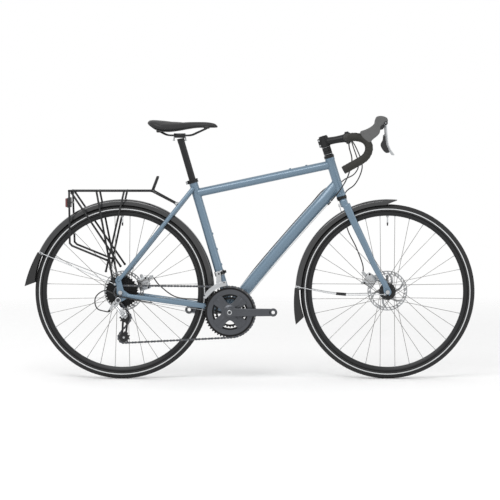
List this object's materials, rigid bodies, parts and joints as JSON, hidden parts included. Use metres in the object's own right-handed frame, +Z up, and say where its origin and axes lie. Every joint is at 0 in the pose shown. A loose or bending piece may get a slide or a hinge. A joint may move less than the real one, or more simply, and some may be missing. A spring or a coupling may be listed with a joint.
{
  "type": "touring bicycle",
  "caption": "Touring bicycle with drop handlebar, rear rack, mudguards, derailleur gears and disc brakes; its wheels, cranks, steering, levers, gears and seatpost move.",
  "frame": {"origin": "on the ground under the middle of the bicycle's length, in its middle plane", "axes": "+X forward, +Y to the rider's left, +Z up"},
  "size_m": [1.795, 0.4746, 1.0445],
  "materials": {
    "frame_paint": "satin grey-blue paint",
    "black_alloy": "black anodised and painted alloy",
    "silver_alloy": "polished and satin silver alloy",
    "dark_alloy": "satin grey alloy",
    "gear_steel": "oiled bright steel",
    "hub_steel": "bright steel",
    "black_plastic": "satin black",
    "guard_plastic": "glossy dark grey",
    "saddle_leather": "grained black cover",
    "tyre_rubber": "black rubber with a reflective stripe",
    "bar_tape": "wound matt tape",
    "hood_rubber": "matt grey rubber",
    "cable_housing": "smooth black sheath",
    "red_lens": "red lens"
  },
  "bodies": {
    "frame": {"head_tube": "frame_paint", "top_tube": "frame_paint", "down_tube": "frame_paint", "seat_tube": "frame_paint", "rear_stays_right": "frame_paint", "rear_stays_left": "frame_paint", "seat_collar": "black_alloy", "headset_upper": "black_alloy", "headset_lower": "black_alloy", "rear_axle": "hub_steel", "derailleur_mount": "silver_alloy", "front_derailleur": "silver_alloy", "rear_caliper": "silver_alloy", "rear_mudguard": "guard_plastic", "rear_rack": "black_alloy", "rear_light": "red_lens", "rear_brake_cable": "cable_housing", "front_shift_cable": "cable_housing", "rear_shift_cable": "cable_housing", "chain": "gear_steel"},
    "seat": {"seatpost": "black_alloy", "saddle_base": "black_plastic", "saddle_cover": "saddle_leather"},
    "steering": {"fork": "frame_paint", "stem": "black_alloy", "handlebar": "black_alloy", "bar_tape_right": "bar_tape", "bar_tape_left": "bar_tape", "brake_hood_right": "hood_rubber", "brake_hood_left": "hood_rubber", "front_axle": "hub_steel", "front_caliper": "black_alloy", "front_mudguard": "guard_plastic", "front_brake_cable": "cable_housing"},
    "brake_lever_right": {"brake_lever_right": "silver_alloy"},
    "brake_lever_left": {"brake_lever_left": "silver_alloy"},
    "shift_paddle_right": {"shift_paddle_right": "black_plastic"},
    "shift_paddle_left": {"shift_paddle_left": "black_plastic"},
    "front_wheel": {"front_tyre": "tyre_rubber", "front_rim": "black_alloy", "front_hub": "hub_steel", "front_brake_disc": "hub_steel"},
    "rear_wheel": {"rear_tyre": "tyre_rubber", "rear_rim": "black_alloy", "rear_hub": "hub_steel", "rear_brake_disc": "hub_steel"},
    "front_release_lever": {"front_release_lever": "silver_alloy"},
    "rear_release_lever": {"rear_release_lever": "silver_alloy"},
    "cassette": {"cassette": "gear_steel"},
    "crankset": {"crank_right": "dark_alloy", "crank_left": "dark_alloy", "chainrings": "dark_alloy"},
    "derailleur_link": {"derailleur_link": "silver_alloy"},
    "derailleur_knuckle": {"derailleur_knuckle": "silver_alloy"},
    "derailleur_cage": {"derailleur_cage": "black_plastic"},
    "jockey_wheel_upper": {"jockey_wheel_upper": "black_plastic"},
    "jockey_wheel_lower": {"jockey_wheel_lower": "black_plastic"},
    "front_derailleur_cage": {"front_derailleur_cage": "hub_steel"},
    "front_caliper_arm": {"front_caliper_arm": "silver_alloy"},
    "rear_caliper_arm": {"rear_caliper_arm": "silver_alloy"}
  },
  "joints": [
    {"name": "steering_turn", "type": "hinge", "parent": "frame", "child": "steering", "pos_m": [0.48836, 0, 0.32908], "axis": [-0.2957, 0, 0.9553], "range_deg": [-75, 75], "deforming": ["rear_brake_cable", "front_shift_cable", "rear_shift_cable"]},
    {"name": "front_wheel_spin", "type": "hinge", "parent": "steering", "child": "front_wheel", "pos_m": [0.5495, 0, 0.348], "axis": [0, 1, 0], "continuous": true},
    {"name": "rear_wheel_spin", "type": "hinge", "parent": "frame", "child": "rear_wheel", "pos_m": [-0.5095, 0, 0.348], "axis": [0, 1, 0], "continuous": true},
    {"name": "crank_spin", "type": "hinge", "parent": "frame", "child": "crankset", "pos_m": [-0.07665, 0, 0.269], "axis": [0, 1, 0], "continuous": true},
    {"name": "cassette_spin", "type": "hinge", "parent": "frame", "child": "cassette", "pos_m": [-0.5095, -0.045, 0.348], "axis": [0, 1, 0], "continuous": true},
    {"name": "seatpost_height", "type": "slide", "parent": "frame", "child": "seat", "axis": [-0.2807, 0, 0.9598], "range_m": [-0.1, 0.06]},
    {"name": "brake_lever_right_pull", "type": "hinge", "parent": "steering", "child": "brake_lever_right", "pos_m": [0.5408, -0.21, 1.01727], "axis": [0, 1, 0], "range_deg": [0, 20], "stiffness_Nm_per_rad": 1.5, "springref_deg": -11.46},
    {"name": "brake_lever_left_pull", "type": "hinge", "parent": "steering", "child": "brake_lever_left", "pos_m": [0.5408, 0.21, 1.01727], "axis": [0, 1, 0], "range_deg": [0, 20], "stiffness_Nm_per_rad": 1.5, "springref_deg": -11.46},
    {"name": "shift_paddle_right_swing", "type": "hinge", "parent": "brake_lever_right", "child": "shift_paddle_right", "pos_m": [0.5408, -0.21, 1.01727], "axis": [1, 0, 0], "range_deg": [0, 12], "stiffness_Nm_per_rad": 0.3, "springref_deg": -5.73},
    {"name": "shift_paddle_left_swing", "type": "hinge", "parent": "brake_lever_left", "child": "shift_paddle_left", "pos_m": [0.5408, 0.21, 1.01727], "axis": [-1, 0, 0], "range_deg": [0, 12], "stiffness_Nm_per_rad": 0.3, "springref_deg": -5.73},
    {"name": "front_caliper_pull", "type": "hinge", "parent": "steering", "child": "front_caliper_arm", "pos_m": [0.48093, 0.0603, 0.3892], "axis": [0, 1, 0], "range_deg": [0, 13], "deforming": ["front_brake_cable"]},
    {"name": "rear_caliper_pull", "type": "hinge", "parent": "frame", "child": "rear_caliper_arm", "pos_m": [-0.42984, 0.0733, 0.37465], "axis": [0, 1, 0], "range_deg": [0, 13], "deforming": ["rear_brake_cable"]},
    {"name": "derailleur_swing", "type": "hinge", "parent": "frame", "child": "derailleur_link", "pos_m": [-0.5245, -0.078, 0.298], "axis": [0.7831, 0, 0.6219], "range_deg": [-6.4, 36.8], "deforming": ["chain", "rear_shift_cable"]},
    {"name": "derailleur_level", "type": "hinge", "parent": "derailleur_link", "child": "derailleur_knuckle", "pos_m": [-0.4975, -0.092, 0.264], "axis": [0.7831, 0, 0.6219], "range_deg": [-36.8, 6.4], "deforming": ["chain"]},
    {"name": "cage_tension", "type": "hinge", "parent": "derailleur_knuckle", "child": "derailleur_cage", "pos_m": [-0.49075, -0.0634, 0.2555], "axis": [0, 1, 0], "range_deg": [-20, 60], "stiffness_Nm_per_rad": 0.6, "deforming": ["chain"]},
    {"name": "jockey_upper_spin", "type": "hinge", "parent": "derailleur_cage", "child": "jockey_wheel_upper", "pos_m": [-0.4916, -0.057, 0.247], "axis": [0, 1, 0], "continuous": true},
    {"name": "jockey_lower_spin", "type": "hinge", "parent": "derailleur_cage", "child": "jockey_wheel_lower", "pos_m": [-0.4976, -0.057, 0.169], "axis": [0, 1, 0], "continuous": true},
    {"name": "front_shift", "type": "slide", "parent": "frame", "child": "front_derailleur_cage", "axis": [0, 1, 0], "range_m": [0, 0.015], "deforming": ["chain"]},
    {"name": "front_release_open", "type": "hinge", "parent": "steering", "child": "front_release_lever", "pos_m": [0.5495, 0.0671, 0.348], "axis": [-1, 0, 0], "range_deg": [0, 170]},
    {"name": "rear_release_open", "type": "hinge", "parent": "frame", "child": "rear_release_lever", "pos_m": [-0.5095, 0.0856, 0.348], "axis": [-1, 0, 0], "range_deg": [0, 170]}
  ],
  "couplings": [
    {"joint": "cassette_spin", "follows": "crank_spin", "ratio": 3.8462},
    {"joint": "jockey_upper_spin", "follows": "crank_spin", "ratio": -4.5454},
    {"joint": "jockey_lower_spin", "follows": "crank_spin", "ratio": 4.5454},
    {"joint": "derailleur_level", "follows": "derailleur_swing", "ratio": -1},
    {"joint": "front_caliper_pull", "follows": "brake_lever_right_pull", "ratio": 0.6},
    {"joint": "rear_caliper_pull", "follows": "brake_lever_left_pull", "ratio": 0.6}
  ]
}
